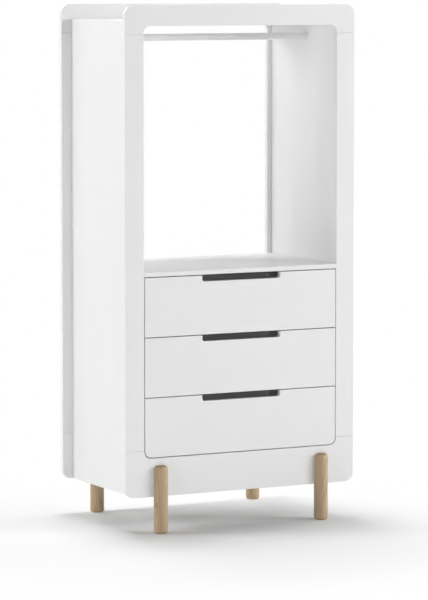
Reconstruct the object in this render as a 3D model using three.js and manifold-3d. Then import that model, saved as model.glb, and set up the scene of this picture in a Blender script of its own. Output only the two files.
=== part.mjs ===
// An open wardrobe for a child's room: a hanging space over three drawers. Two equal picture frames
// with rounded corners hold the carcass between them and stand on four round wooden legs.
// Millimetres, +Z up, the front looks towards -Y, and the floor is at zero.
import * as THREE from "three";
import { mergeVertices } from "three/addons/utils/BufferGeometryUtils.js";
import Module from "manifold-3d";

// Whole object
const overallHeight = 1840; // floor to the top of the frames
const frameWidth = 908; // across either frame
const floorClearance = 130; // floor to the underside of the frames

// Frames, each of two U-shaped rails and two straight stiles
const frameBoard = 18;
const stileWidth = 72;
const topRailHeight = 72;
const bottomRailHeight = 135;
const outerCornerRadius = 33;
const innerCornerRadius = 26;
const earLength = 29; // a rail's inner edge to its seam with the stile

// Carcass boards
const panelBoard = 16;
const backBoard = 3;
const sideInset = 38; // the frame's outer edge to the outer face of a side panel
const topPanelDrop = 53; // the frame's top to the upper face of the top panel
const deckHeight = 916; // floor to the upper face of the deck

// Drawers, from the top down
const drawerNames = ["upper", "middle", "lower"];
const frontBoard = 18;
const frontGap = 3.2; // all round each drawer front
const gripWidth = 310;
const gripDepth = 21;
const gripCornerRadius = 9;
const boxBoard = 12;
const boxBottomBoard = 5;
const boxHeight = 140;
const boxLift = 22; // a front's lower edge to the lower edge of its box
const grooveDepth = 6;
const grooveLift = 10; // lower edge of the box to the groove for its bottom
const drawerTravel = 340;
const drawerRearRoom = 46.4; // the boxes to the lower back panel

// Ball-bearing runners: a cabinet member, a ball cage and a drawer member, nested across their width
const runnerLength = 450; // and the depth of the drawer boxes
const runnerHeight = 35;
const runnerSetback = 3; // back face of a drawer front to the front end of its runners
const runnerLift = 58; // lower edge of the box to the runner's centre line
const memberSheet = 1.2;
const memberLip = 1.6; // how far a raceway's edge curls over the balls
const bendRadius = 1.1; // on the sheet's centre line
const memberHoles = 3; // screw holes along each member
const memberHoleDiameter = 4.6;
const ballDiameter = 4.8;
const ballsPerRow = 5;
const cageLength = 210;
const cageSheet = 0.8;
const cageReach = 1.2; // how far the cage's strips run past the balls' centres
const cageMargin = 5; // cage to the front end of the cabinet member with the drawer open
const packerMargin = 8; // runner's rear end to the rear edge of the packer

// Hanging rail and its plugs
const railDiameter = 25;
const railWall = 1.5;
const railDrop = 116; // the frame's top to the rail's axis
const railSetback = 260; // the front face to the rail's axis
const plugLength = 18;
const pegDiameter = 8;
const pegLength = 10;

// Legs and their bolts
const legDiameter = 50;
const legInset = 134; // the frame's outer edge to a leg's axis
const legStandOff = 3; // the face that a leg laps on to the leg's axis
const legLap = 110; // height of the lap above the frame's underside
const legFootRounding = 9;
const legTopRounding = 14;
const boltDiameter = 6;
const boltHeadDiameter = 12;
const boltHeadHeight = 2.5;
const boltHeadRounding = 1;
const boltTipRounding = 0.6;
const boltBite = 14; // how far a bolt reaches into the leg
const boltKey = 4; // across the flats of the hexagon socket
const boltKeyDepth = 1.5;

// Fits
const seatGap = 0.3; // between pieces that are glued, screwed or pushed together
const holeGap = 0.3; // round a bolt or peg
const runGap = 0.5; // between runner pieces that pass each other
const ballPlay = 0.2; // a ball to its raceway
const lipPlay = 0.8; // a ball to the curled edges beside it
const edgeBreak = 0.8; // the boards' broken edges
const cutOvershoot = 1; // how far a cutting shape passes the face that it leaves

// Fineness of the curves
const arcTolerance = 0.12; // of an arc to its chords
const legFacets = 28;
const railFacets = 24;
const pinFacets = 12;
const ballFacets = 6;
const ballRings = 4;

// Levels above the floor
const openingBottom = floorClearance + bottomRailHeight;
const openingTop = overallHeight - topRailHeight;
const deckUnderside = deckHeight - panelBoard;
const topPanelUpper = overallHeight - topPanelDrop;
const railLevel = overallHeight - railDrop;
const frontPitch = (deckUnderside - openingBottom - frontGap) / drawerNames.length;
const frontHeight = frontPitch - frontGap;

// Distances from the middle of the width
const frameHalf = frameWidth / 2;
const openingHalf = frameHalf - stileWidth;
const sideOuter = frameHalf - sideInset;
const sideInner = sideOuter - panelBoard;
const legOffset = frameHalf - legInset;
const frontHalf = openingHalf - frontGap;

// Distances behind the front face. The carcass is as deep as the runners ask for.
const carcassFront = frameBoard;
const boxFront = frontBoard + seatGap;
const boxBack = boxFront + runnerLength;
const lowerBackAt = boxBack + drawerRearRoom;
const carcassBack = lowerBackAt + backBoard + seatGap;
const runnerFront = frontBoard + runnerSetback;

// Places across a runner, from the face that its cabinet member is screwed to
const cabinetWebAt = seatGap;
const cageWebAt = cabinetWebAt + memberSheet + runGap;
const drawerLipAt = cageWebAt + cageSheet + runGap;
const ballAt = drawerLipAt + memberSheet + lipPlay + ballDiameter / 2;
const cabinetLipEnd = ballAt + ballDiameter / 2 + lipPlay + memberSheet;
const runnerWidth = cabinetLipEnd + runGap;
const drawerWebEnd = runnerWidth - seatGap;
const boxHalf = openingHalf - runnerWidth;
const boxInnerHalf = boxHalf - boxBoard;

// Heights above a runner's centre line
const cabinetRaceway = runnerHeight / 2 - memberSheet;
const ballRow = cabinetRaceway - ballPlay - ballDiameter / 2;
const drawerRaceway = ballRow - ballDiameter / 2 - ballPlay;

const wasm = await Module();
wasm.setup();

// Points through corners [x, y, radius], with an arc at each corner that has a radius.
function rounded(corners, closed) {
  return corners.flatMap(([x, y, radius = 0], i) => {
    const corner = new THREE.Vector2(x, y);
    const isEnd = !closed && (i === 0 || i === corners.length - 1);
    if (radius === 0 || isEnd) return [corner];
    const [beforeX, beforeY] = corners.at(i - 1);
    const [afterX, afterY] = corners[(i + 1) % corners.length];
    const before = new THREE.Vector2(beforeX, beforeY).sub(corner).normalize();
    const after = new THREE.Vector2(afterX, afterY).sub(corner).normalize();
    const halfAngle = Math.acos(before.dot(after)) / 2;
    const middle = before.clone().add(after).normalize();
    const centre = corner.clone().addScaledVector(middle, radius / Math.sin(halfAngle));
    const sweep = Math.PI - 2 * halfAngle;
    const turn = Math.sign(after.cross(before));
    const finest = 2 * Math.acos(Math.max(0, 1 - arcTolerance / radius));
    const steps = Math.max(2, Math.ceil(sweep / finest));
    const arc = [];
    for (let step = 0; step <= steps; step++) {
      const angle = turn * sweep * (0.5 - step / steps);
      const spoke = middle.clone().negate().rotateAround(new THREE.Vector2(), -angle);
      arc.push(centre.clone().addScaledVector(spoke, radius));
    }
    return arc;
  });
}

// A closed outline with the corners [x, y, radius].
function outline(corners) {
  return new THREE.Shape(rounded(corners, true));
}

function rectangle(x0, y0, x1, y1) {
  return outline([
    [x0, y0],
    [x1, y0],
    [x1, y1],
    [x0, y1],
  ]);
}

// The section of a folded sheet, from the corners [x, y, radius] of its centre line.
function foldedSheet(corners, sheet) {
  const line = rounded(corners, false);
  const offsets = line.map((point, i) => {
    const before = point.clone().sub(line[Math.max(i - 1, 0)]);
    const after = line[Math.min(i + 1, line.length - 1)].clone().sub(point);
    const first = (i === 0 ? after : before).clone().normalize();
    const second = (i === line.length - 1 ? before : after).clone().normalize();
    const mitre = first.clone().add(second).divideScalar(1 + first.dot(second));
    return new THREE.Vector2(-mitre.y, mitre.x).multiplyScalar(sheet / 2);
  });
  const leftFace = line.map((point, i) => point.clone().add(offsets[i]));
  const rightFace = line.map((point, i) => point.clone().sub(offsets[i]));
  return new THREE.Shape([...leftFace, ...rightFace.reverse()]);
}

// Where the outline's two directions and the thickness point, for each direction of the thickness.
const across = new THREE.Vector3(1, 0, 0);
const back = new THREE.Vector3(0, 1, 0);
const up = new THREE.Vector3(0, 0, 1);
const layouts = {
  x: new THREE.Matrix4().makeBasis(back, up, across),
  y: new THREE.Matrix4().makeBasis(across, up, back.clone().negate()),
  z: new THREE.Matrix4(),
};

// A board cut from an outline. Its thickness runs from zero along the given direction, and the
// outline is drawn in (y, z), (x, z) or (x, y).
function board(shape, thickness, direction, edge = edgeBreak) {
  const geometry = new THREE.ExtrudeGeometry(shape, {
    depth: thickness - 2 * edge,
    bevelEnabled: edge > 0,
    bevelThickness: edge,
    bevelSize: edge,
    bevelOffset: -edge,
    bevelSegments: 1,
  });
  geometry.translate(0, 0, edge);
  geometry.applyMatrix4(layouts[direction]);
  if (direction === "y") geometry.translate(0, thickness, 0);
  return geometry;
}

// A sheet or batten with the same section all along, with sharp ends.
function profile(section, length) {
  return board(section, length, "y", 0);
}

// A piece turned round the given axis from the corners [radius, height, rounding] of its half section.
function turned(corners, facets, direction) {
  const geometry = new THREE.LatheGeometry(rounded(corners, false), facets);
  if (direction === "z") geometry.rotateX(Math.PI / 2);
  if (direction === "x") geometry.rotateZ(-Math.PI / 2);
  return geometry;
}

function block(x0, x1, y0, y1, z0, z1) {
  const geometry = new THREE.BoxGeometry(x1 - x0, y1 - y0, z1 - z0);
  return geometry.translate((x0 + x1) / 2, (y0 + y1) / 2, (z0 + z1) / 2);
}

// A drill of the given diameter, from zero to a depth along the direction.
function drill(diameter, depth, direction) {
  const radius = diameter / 2;
  return turned(
    [
      [0, 0],
      [radius, 0],
      [radius, depth],
      [0, depth],
    ],
    pinFacets,
    direction,
  );
}

function toSolid(geometry) {
  const plain = geometry.clone();
  plain.deleteAttribute("normal");
  plain.deleteAttribute("uv");
  const merged = mergeVertices(plain, 1e-4);
  const triVerts = new Uint32Array(merged.index.array);
  const vertProperties = merged.attributes.position.array;
  return new wasm.Manifold(new wasm.Mesh({ numProp: 3, vertProperties, triVerts }));
}

function toGeometry(solid) {
  const { vertProperties, triVerts } = solid.getMesh();
  const geometry = new THREE.BufferGeometry();
  geometry.setAttribute("position", new THREE.BufferAttribute(vertProperties, 3));
  geometry.setIndex(new THREE.BufferAttribute(triVerts, 1));
  geometry.computeVertexNormals();
  return geometry;
}

function cut(geometry, ...tools) {
  const left = tools.reduce((solid, tool) => solid.subtract(toSolid(tool)), toSolid(geometry));
  return toGeometry(left);
}

function join(geometry, ...others) {
  const whole = others.reduce((solid, other) => solid.add(toSolid(other)), toSolid(geometry));
  return toGeometry(whole);
}

const finishes = {
  lacquer: { color: 0xf2f2f0, roughness: 0.42, metalness: 0 },
  melamine: { color: 0xefefec, roughness: 0.55, metalness: 0 },
  paintedSteel: { color: 0xe9e9e7, roughness: 0.3, metalness: 0 },
  beech: { color: 0xc9a67a, roughness: 0.6, metalness: 0 },
  zincPlate: { color: 0xb6babd, roughness: 0.38, metalness: 0.9 },
  nylon: { color: 0xe4e3de, roughness: 0.5, metalness: 0 },
};

const root = new THREE.Group();

function addPiece(name, geometry, finish, x = 0, y = 0, z = 0, parent = root) {
  const mesh = new THREE.Mesh(geometry, new THREE.MeshStandardMaterial(finishes[finish]));
  mesh.name = name;
  mesh.position.set(x, y, z);
  parent.add(mesh);
}

const sides = [
  ["left", -1],
  ["right", 1],
];

// A U-shaped rail turns both corners of its frame. Its ends meet the stiles at the seams.
function railOutline(outerEdge, innerEdge) {
  const inward = Math.sign(innerEdge - outerEdge);
  const seam = innerEdge + inward * earLength;
  return outline([
    [-frameHalf, seam],
    [-frameHalf, outerEdge, outerCornerRadius],
    [frameHalf, outerEdge, outerCornerRadius],
    [frameHalf, seam],
    [openingHalf, seam],
    [openingHalf, innerEdge, innerCornerRadius],
    [-openingHalf, innerEdge, innerCornerRadius],
    [-openingHalf, seam],
  ]);
}

function addFrame(name, y) {
  const topRail = board(railOutline(overallHeight, openingTop), frameBoard, "y");
  addPiece(`${name}_top_rail`, topRail, "lacquer", 0, y);

  const bottomRail = board(railOutline(floorClearance, openingBottom), frameBoard, "y");
  const boltHoles = sides.map(([, side]) =>
    drill(boltDiameter + 2 * holeGap, frameBoard + 2 * cutOvershoot, "y").translate(
      side * legOffset,
      -cutOvershoot,
      floorClearance + legLap / 2,
    ),
  );
  addPiece(`${name}_bottom_rail`, cut(bottomRail, ...boltHoles), "lacquer", 0, y);

  const stileBottom = openingBottom + earLength + seatGap;
  const stileTop = openingTop - earLength - seatGap;
  for (const [sideName, side] of sides) {
    const shape = rectangle(side * openingHalf, stileBottom, side * frameHalf, stileTop);
    addPiece(`${name}_${sideName}_stile`, board(shape, frameBoard, "y"), "lacquer", 0, y);
  }
}

function addCarcass() {
  const panelFront = carcassFront + seatGap;
  const panelBack = carcassBack - seatGap;
  const innerHalf = sideInner - seatGap;
  const tongueHalf = openingHalf - seatGap;

  for (const [sideName, side] of sides) {
    const shape = rectangle(panelFront, floorClearance, panelBack, topPanelUpper);
    const panel = board(shape, panelBoard, "x").translate(side > 0 ? sideInner : -sideOuter, 0, 0);
    const pegHole = drill(pegDiameter + 2 * holeGap, pegLength + 2 * seatGap, "x").translate(
      sideInner - seatGap,
      0,
      0,
    );
    if (side < 0) pegHole.rotateZ(Math.PI);
    pegHole.translate(0, railSetback, railLevel);
    addPiece(`${sideName}_side_panel`, cut(panel, pegHole), "lacquer");
  }

  const between = rectangle(-innerHalf, panelFront, innerHalf, panelBack);
  addPiece("top_panel", board(between, panelBoard, "z"), "lacquer", 0, 0, topPanelUpper - panelBoard);
  addPiece("bottom_panel", board(between, panelBoard, "z"), "melamine", 0, 0, openingBottom - panelBoard);

  // The deck's front and rear edges pass between the stiles and lie flush with the frames.
  const deckRear = carcassBack + frameBoard;
  const deck = outline([
    [-tongueHalf, 0],
    [tongueHalf, 0],
    [tongueHalf, panelFront],
    [innerHalf, panelFront],
    [innerHalf, panelBack],
    [tongueHalf, panelBack],
    [tongueHalf, deckRear],
    [-tongueHalf, deckRear],
    [-tongueHalf, panelBack],
    [-innerHalf, panelBack],
    [-innerHalf, panelFront],
    [-tongueHalf, panelFront],
  ]);
  addPiece("drawer_deck", board(deck, panelBoard, "z"), "lacquer", 0, 0, deckUnderside);

  const lowest = openingBottom + seatGap;
  const highest = deckUnderside - seatGap;
  const backShape = rectangle(-innerHalf, lowest, innerHalf, highest);
  addPiece("lower_back_panel", board(backShape, backBoard, "y", 0), "melamine", 0, lowerBackAt);

  const packerBack = runnerFront + runnerLength + packerMargin;
  const packerThickness = innerHalf - openingHalf;
  for (const [sideName, side] of sides) {
    const shape = rectangle(panelFront, lowest, packerBack, highest);
    const packer = board(shape, packerThickness, "x");
    const x = side > 0 ? openingHalf : -innerHalf;
    addPiece(`${sideName}_runner_packer`, packer, "melamine", x);
  }
}

// The hanging rail is a tube with a plug in each end. A plug's peg sits in the side panel.
function addHangingRail() {
  const outer = railDiameter / 2;
  const inner = outer - railWall;
  const halfLength = sideInner - seatGap;
  const tube = turned(
    [
      [inner, -halfLength],
      [outer, -halfLength],
      [outer, halfLength],
      [inner, halfLength],
      [inner, -halfLength],
    ],
    railFacets,
    "x",
  );
  addPiece("hanging_rail", tube, "paintedSteel", 0, railSetback, railLevel);

  const plugRadius = inner - seatGap;
  const pegRadius = pegDiameter / 2;
  for (const [sideName, side] of sides) {
    const plug = turned(
      [
        [0, -plugLength],
        [plugRadius, -plugLength],
        [plugRadius, -seatGap],
        [pegRadius, -seatGap],
        [pegRadius, pegLength],
        [0, pegLength],
      ],
      railFacets,
      "x",
    );
    if (side < 0) plug.rotateZ(Math.PI);
    addPiece(`${sideName}_rail_plug`, plug, "nylon", side * sideInner, railSetback, railLevel);
  }
}

// A leg is round up to the frame. Above, it is cut flat and laps on the frame's front face.
function legGeometry() {
  const radius = legDiameter / 2;
  const length = floorClearance + legLap;
  const blank = turned(
    [
      [0, 0],
      [radius, 0, legFootRounding],
      [radius, length, legTopRounding],
      [0, length],
    ],
    legFacets,
    "z",
  );
  const flat = legStandOff - seatGap;
  const shoulder = floorClearance - seatGap;
  const waste = block(-legDiameter, legDiameter, flat, legDiameter, shoulder, length + cutOvershoot);
  const boltHole = drill(boltDiameter + 2 * holeGap, boltBite + 2 * seatGap, "y").rotateZ(Math.PI);
  boltHole.translate(0, legStandOff, floorClearance + legLap / 2);
  return cut(blank, waste, boltHole);
}

// A flat-headed bolt with a hexagon socket. Zero is the face of the board under its head.
function boltGeometry() {
  const shank = boltDiameter / 2;
  const head = boltHeadDiameter / 2;
  const tip = -frameBoard - boltBite;
  const top = seatGap + boltHeadHeight;
  const bolt = turned(
    [
      [0, tip],
      [shank, tip, boltTipRounding],
      [shank, seatGap],
      [head, seatGap],
      [head, top, boltHeadRounding],
      [0, top],
    ],
    pinFacets,
    "y",
  );
  const socketRadius = boltKey / Math.sqrt(3);
  const socket = new THREE.CylinderGeometry(socketRadius, socketRadius, 2 * boltKeyDepth, 6);
  return cut(bolt, socket.translate(0, top, 0));
}

function addLegs() {
  const frames = [
    ["front", 0],
    ["rear", carcassBack],
  ];
  for (const [frameName, face] of frames) {
    for (const [sideName, side] of sides) {
      const name = `${frameName}_${sideName}_leg`;
      const x = side * legOffset;
      addPiece(name, legGeometry(), "beech", x, face - legStandOff, 0);
      const boltLevel = floorClearance + legLap / 2;
      addPiece(`${name}_bolt`, boltGeometry(), "zincPlate", x, face + frameBoard, boltLevel);
    }
  }
}

// The front of one drawer, with the grip slot in its top edge. The lowest one follows the rounded
// corners of the opening.
function drawerFrontGeometry(bottomRadius) {
  const gripHalf = gripWidth / 2;
  const gripBottom = frontHeight - gripDepth;
  const shape = outline([
    [-frontHalf, 0, bottomRadius],
    [frontHalf, 0, bottomRadius],
    [frontHalf, frontHeight],
    [gripHalf, frontHeight],
    [gripHalf, gripBottom, gripCornerRadius],
    [-gripHalf, gripBottom, gripCornerRadius],
    [-gripHalf, frontHeight],
    [-frontHalf, frontHeight],
  ]);
  return board(shape, frontBoard, "y");
}

// The box of one drawer. Its bottom slides into grooves in the sides, under the back.
function addDrawerBox(name, drawer) {
  const top = boxLift + boxHeight;
  const groove = boxLift + grooveLift;
  const grooveTop = groove + boxBottomBoard + 2 * seatGap;
  const grooveWall = boxInnerHalf + grooveDepth;
  for (const [sideName, side] of sides) {
    const section = outline([
      [side * boxInnerHalf, boxLift],
      [side * boxHalf, boxLift],
      [side * boxHalf, top],
      [side * boxInnerHalf, top],
      [side * boxInnerHalf, grooveTop],
      [side * grooveWall, grooveTop],
      [side * grooveWall, groove],
      [side * boxInnerHalf, groove],
    ]);
    addPiece(`${name}_${sideName}_side`, profile(section, runnerLength), "melamine", 0, boxFront, 0, drawer);
  }

  const backHalf = boxInnerHalf - seatGap;
  const backShape = rectangle(-backHalf, grooveTop, backHalf, top);
  const backAt = boxBack - boxBoard;
  addPiece(`${name}_back`, board(backShape, boxBoard, "y"), "melamine", 0, backAt, 0, drawer);

  const bottomHalf = grooveWall - seatGap;
  const bottomShape = rectangle(-bottomHalf, boxFront, bottomHalf, boxBack);
  const bottom = board(bottomShape, boxBottomBoard, "z", 0);
  addPiece(`${name}_bottom`, bottom, "melamine", 0, 0, groove + seatGap, drawer);
}

// The C-shaped sections of a runner, open towards the drawer. Side is -1 at the left, 1 at the right.
function channelSection(side, webAt, tipAt, halfHeight, sheet, lip) {
  const place = (across) => side * (openingHalf - across);
  const web = webAt + Math.sign(tipAt - webAt) * (sheet / 2);
  const tip = tipAt - Math.sign(tipAt - webAt) * (sheet / 2);
  const flange = halfHeight - sheet / 2;
  const corners = [
    [place(web), -flange, bendRadius],
    [place(web), flange, bendRadius],
  ];
  if (lip === 0) {
    corners.unshift([place(tip), -flange]);
    corners.push([place(tip), flange]);
  } else {
    corners.unshift([place(tip), -flange + lip], [place(tip), -flange, bendRadius]);
    corners.push([place(tip), flange, bendRadius], [place(tip), flange - lip]);
  }
  return foldedSheet(corners, sheet);
}

// One member of a runner with the screw holes through its web.
function memberGeometry(section, webMiddle) {
  const depth = memberSheet + 2 * cutOvershoot;
  const pitch = runnerLength / memberHoles;
  const holes = Array.from({ length: memberHoles }, (_, i) =>
    drill(memberHoleDiameter, depth, "x").translate(webMiddle - depth / 2, (i + 0.5) * pitch, 0),
  );
  return cut(profile(section, runnerLength), ...holes);
}

// Two rows of balls in a folded strip, which rolls between the two members.
function ballCageGeometry(side) {
  const tipAt = ballAt + cageReach;
  const section = channelSection(side, cageWebAt, tipAt, ballRow + cageSheet / 2, cageSheet, 0);
  const balls = [];
  for (const row of [-ballRow, ballRow]) {
    for (let i = 0; i < ballsPerRow; i++) {
      const ball = new THREE.SphereGeometry(ballDiameter / 2, ballFacets, ballRings);
      ball.rotateX(Math.PI / 2);
      const along = ((i + 0.5) * cageLength) / ballsPerRow;
      balls.push(ball.translate(side * (openingHalf - ballAt), along, row));
    }
  }
  return join(profile(section, cageLength), ...balls);
}

// Both runners of one drawer. A cage has half the drawer's travel, so closed it stands that far back.
function addRunners(name, drawer) {
  const level = boxLift + runnerLift;
  const cageAt = runnerFront + cageMargin + drawerTravel / 2;
  for (const [sideName, side] of sides) {
    const prefix = `${name}_${sideName}`;
    const cabinetSection = channelSection(
      side,
      cabinetWebAt,
      cabinetLipEnd,
      runnerHeight / 2,
      memberSheet,
      memberLip,
    );
    const drawerSection = channelSection(
      side,
      drawerWebEnd,
      drawerLipAt,
      drawerRaceway,
      memberSheet,
      -memberLip,
    );
    const cabinetWeb = openingHalf - cabinetWebAt - memberSheet / 2;
    const drawerWeb = openingHalf - drawerWebEnd + memberSheet / 2;
    const cabinetMember = memberGeometry(cabinetSection, side * cabinetWeb);
    const drawerMember = memberGeometry(drawerSection, side * drawerWeb);
    addPiece(`${prefix}_cabinet_member`, cabinetMember, "zincPlate", 0, runnerFront, level, drawer);
    addPiece(`${prefix}_ball_cage`, ballCageGeometry(side), "zincPlate", 0, cageAt, level, drawer);
    addPiece(`${prefix}_drawer_member`, drawerMember, "zincPlate", 0, runnerFront, level, drawer);
  }
}

function addDrawers() {
  drawerNames.forEach((position, i) => {
    const name = `${position}_drawer`;
    const isLowest = i === drawerNames.length - 1;
    const drawer = new THREE.Group();
    drawer.position.z = deckUnderside - (i + 1) * frontPitch;
    root.add(drawer);
    const bottomRadius = isLowest ? Math.max(0, innerCornerRadius - frontGap) : 0;
    addPiece(`${name}_front`, drawerFrontGeometry(bottomRadius), "lacquer", 0, 0, 0, drawer);
    addDrawerBox(name, drawer);
    addRunners(name, drawer);
  });
}

addFrame("front", 0);
addFrame("back", carcassBack);
addCarcass();
addHangingRail();
addLegs();
addDrawers();

// The origin is on the floor, in the middle of the whole depth with the legs.
const foremost = Math.min(0, -legStandOff - legDiameter / 2);
const rearLegBack = carcassBack - legStandOff + legDiameter / 2;
const rearmost = Math.max(carcassBack + frameBoard, rearLegBack);
root.position.y = -(foremost + rearmost) / 2;

export default root;
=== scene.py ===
"""Looks of an open wardrobe for a child's room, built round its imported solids.

Two equal picture frames with rounded corners hold the carcass between them and stand on four round
beech legs. A rail hangs under the top, and three drawers run on ball-bearing runners below the
deck. Sizes are in millimetres, and distances in depth are counted from the front face. Meshes are
made in metres, in the frame of the solids: X to the right, the front towards -Y, the floor at zero.
"""

import logging
import math
from dataclasses import dataclass, field
from enum import Enum

import bmesh
import bpy
from mathutils import Matrix, Vector


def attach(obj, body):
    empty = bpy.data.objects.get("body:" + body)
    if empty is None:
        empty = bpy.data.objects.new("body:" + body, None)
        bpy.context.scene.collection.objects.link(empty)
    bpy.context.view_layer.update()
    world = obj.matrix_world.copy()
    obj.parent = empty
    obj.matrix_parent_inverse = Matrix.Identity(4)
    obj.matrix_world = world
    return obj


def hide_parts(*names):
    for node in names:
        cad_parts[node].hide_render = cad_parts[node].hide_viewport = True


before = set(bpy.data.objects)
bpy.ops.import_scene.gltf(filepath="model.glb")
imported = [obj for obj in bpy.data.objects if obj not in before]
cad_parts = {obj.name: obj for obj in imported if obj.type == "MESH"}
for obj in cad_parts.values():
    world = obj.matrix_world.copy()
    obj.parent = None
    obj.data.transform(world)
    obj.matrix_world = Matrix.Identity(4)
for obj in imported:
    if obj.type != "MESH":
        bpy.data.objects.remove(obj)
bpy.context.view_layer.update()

logging.basicConfig(level=logging.INFO, format="%(message)s")
log = logging.getLogger("wardrobe")

MM = 0.001  # metres in a millimetre
ARC_TOLERANCE = 0.02  # mm between an arc and its chords
LEAST_CHORDS = 3  # in each rounding of an outline
BEND_CHORDS = 6  # in each rounding of a turned or folded section
CORNER_MARGIN = 1.15  # an outline's least rounding, in radii of the board's rounded edges
TOOL_REACH = 2.0  # mm that a cutting tool goes past the piece

Corner = tuple[float, float, float]  # x, y and the rounding there
Colour = tuple[float, float, float, float]
Piece = bpy.types.Object
Tree = bpy.types.NodeTree
Socket = bpy.types.NodeSocket
Settings = dict[str | int, object]  # values by the name of a property, or an input's name or number
Links = dict[str | int, Socket]  # outputs by the name or number of the input that each feeds


class Side(Enum):
    """The two sides of the wardrobe, as seen from the front."""

    LEFT = -1
    RIGHT = 1

    @property
    def label(self) -> str:
        """The side's word in piece names."""
        return self.name.lower()


class Axis(Enum):
    """The direction of a board's thickness. Its outline is drawn in the other two."""

    X = "x"
    Y = "y"
    Z = "z"

    def point(self, u: float, v: float, w: float) -> Vector:
        """Places a point of a board.

        Args:
            u: first coordinate in the outline.
            v: second coordinate in the outline.
            w: coordinate along the thickness.

        Returns:
            The point as (x, y, z).
        """
        if self is Axis.X:
            return Vector((w, u, v))
        if self is Axis.Y:
            return Vector((u, w, v))
        return Vector((u, v, w))

    @property
    def mirrors(self) -> bool:
        """Whether the outline and the thickness make a left-handed set."""
        return self is Axis.Y


@dataclass(frozen=True)
class Layout:
    """Sizes, planes and levels that the sub-assemblies share, in millimetres."""

    front_face: float = -256.0  # the front frame's front face, in the frame of the solids
    seat_gap: float = 0.3  # between pieces that are glued or screwed together
    front_gap: float = 3.2  # round each drawer front
    frame_board: float = 18.0
    frame_strip: float = 72.0  # width of the stiles and of the top rail
    frame_foot: float = 135.0  # height of the bottom rail
    panel_board: float = 16.0
    carcass_depth: float = 500.0  # between the two frames
    carcass_back: float = frame_board + carcass_depth
    frame_half: float = 454.0
    opening_half: float = frame_half - frame_strip
    opening_radius: float = 26.0
    underside: float = 130.0
    opening_bottom: float = underside + frame_foot
    top: float = 1840.0
    opening_top: float = top - frame_strip
    deck_underside: float = 900.0
    side_inset: float = 38.0  # of the side panels, from the frames' outer edge
    side_outer: float = frame_half - side_inset
    side_inner: float = side_outer - panel_board


LAYOUT = Layout()


def to_linear(hex_colour: str) -> Colour:
    """Turns an sRGB hex colour into linear light.

    Args:
        hex_colour: a colour such as "#F2F2F0".

    Returns:
        Red, green, blue and an alpha of one.
    """
    channels = (int(hex_colour[i : i + 2], 16) / 255 for i in (1, 3, 5))
    red, green, blue = (c / 12.92 if c <= 0.04045 else ((c + 0.055) / 1.055) ** 2.4 for c in channels)
    return red, green, blue, 1.0


def add_node(
    tree: Tree, kind: str, settings: Settings | None = None, links: Links | None = None
) -> bpy.types.Node:
    """Adds a node with its settings and links.

    Args:
        tree: the tree that the node goes into.
        kind: the node's type.
        settings: the node's own values.
        links: what other nodes feed it.

    Returns:
        The new node.
    """
    node = tree.nodes.new(kind)
    for name, value in (settings or {}).items():
        if isinstance(name, str) and hasattr(node, name):
            setattr(node, name, value)
        else:
            node.inputs[name].default_value = value
    for name, socket in (links or {}).items():
        tree.links.new(socket, node.inputs[name])
    return node


@dataclass(frozen=True)
class Finish:
    """What every finish has: a name and the record's material slot."""

    title: str
    slot: str

    def even(self) -> Settings:
        """Returns the shader's settings that stay the same all over a piece."""
        raise NotImplementedError

    def lay(self, tree: Tree) -> Links:
        """Lays the finish's pattern.

        Args:
            tree: the material's empty tree.

        Returns:
            What the pattern feeds the shader.
        """
        raise NotImplementedError

    def material(self) -> bpy.types.Material:
        """Makes the finish's material the first time that it is asked for.

        Returns:
            The material.
        """
        made = bpy.data.materials.get(self.title)
        if made is None:
            made = bpy.data.materials.new(self.title)
            made.use_nodes = True
            tree = made.node_tree
            tree.nodes.clear()
            shader = add_node(tree, "ShaderNodeBsdfPrincipled", self.even(), self.lay(tree))
            add_node(tree, "ShaderNodeOutputMaterial", links={"Surface": shader.outputs["BSDF"]})
        return made


@dataclass(frozen=True)
class CloudedFinish(Finish):
    """A sprayed or moulded finish, whose shade and gloss drift in clouds over an uneven skin."""

    shade: str
    cloud: str  # the shade inside a cloud
    cloud_size: float
    roughness: float
    cloud_roughness: float
    skin_size: float
    skin_height: float
    skin_detail: float = 1.0  # octaves of the skin's noise
    index: float = 1.5
    translucency: float = 0.0
    light_depth: float = 2.0  # how far light gets in, where the finish is translucent

    def even(self) -> Settings:
        """Returns the shader's settings that stay the same all over a piece."""
        depth = self.light_depth * MM
        return {"IOR": self.index, "Subsurface Weight": self.translucency, "Subsurface Scale": depth}

    def lay(self, tree: Tree) -> Links:
        """Lays the finish's pattern.

        Args:
            tree: the material's empty tree.

        Returns:
            What the pattern feeds the shader.
        """
        place = {"Vector": add_node(tree, "ShaderNodeTexCoord").outputs["Object"]}
        spread = {"Scale": 1 / (self.cloud_size * MM)}
        cloud = add_node(tree, "ShaderNodeTexNoise", spread, place).outputs["Fac"]
        shades = {"data_type": "RGBA", 6: to_linear(self.shade), 7: to_linear(self.cloud)}
        colour = add_node(tree, "ShaderNodeMix", shades, {0: cloud}).outputs[2]
        waves = {"Scale": 1 / (self.skin_size * MM), "Detail": self.skin_detail}
        skin = add_node(tree, "ShaderNodeTexNoise", waves, place).outputs["Fac"]
        height = {"Distance": self.skin_height * MM}
        bump = add_node(tree, "ShaderNodeBump", height, {"Height": skin}).outputs["Normal"]
        return {"Base Color": colour, "Roughness": self.lay_roughness(tree, cloud), "Normal": bump}

    def lay_roughness(self, tree: Tree, cloud: Socket) -> Socket:
        """Lays what the roughness follows.

        Args:
            tree: the finish's tree.
            cloud: how much of a cloud there is at a place.

        Returns:
            The roughness.
        """
        drift = {"To Min": self.roughness, "To Max": self.cloud_roughness}
        return add_node(tree, "ShaderNodeMapRange", drift, {"Value": cloud}).outputs["Result"]


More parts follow.
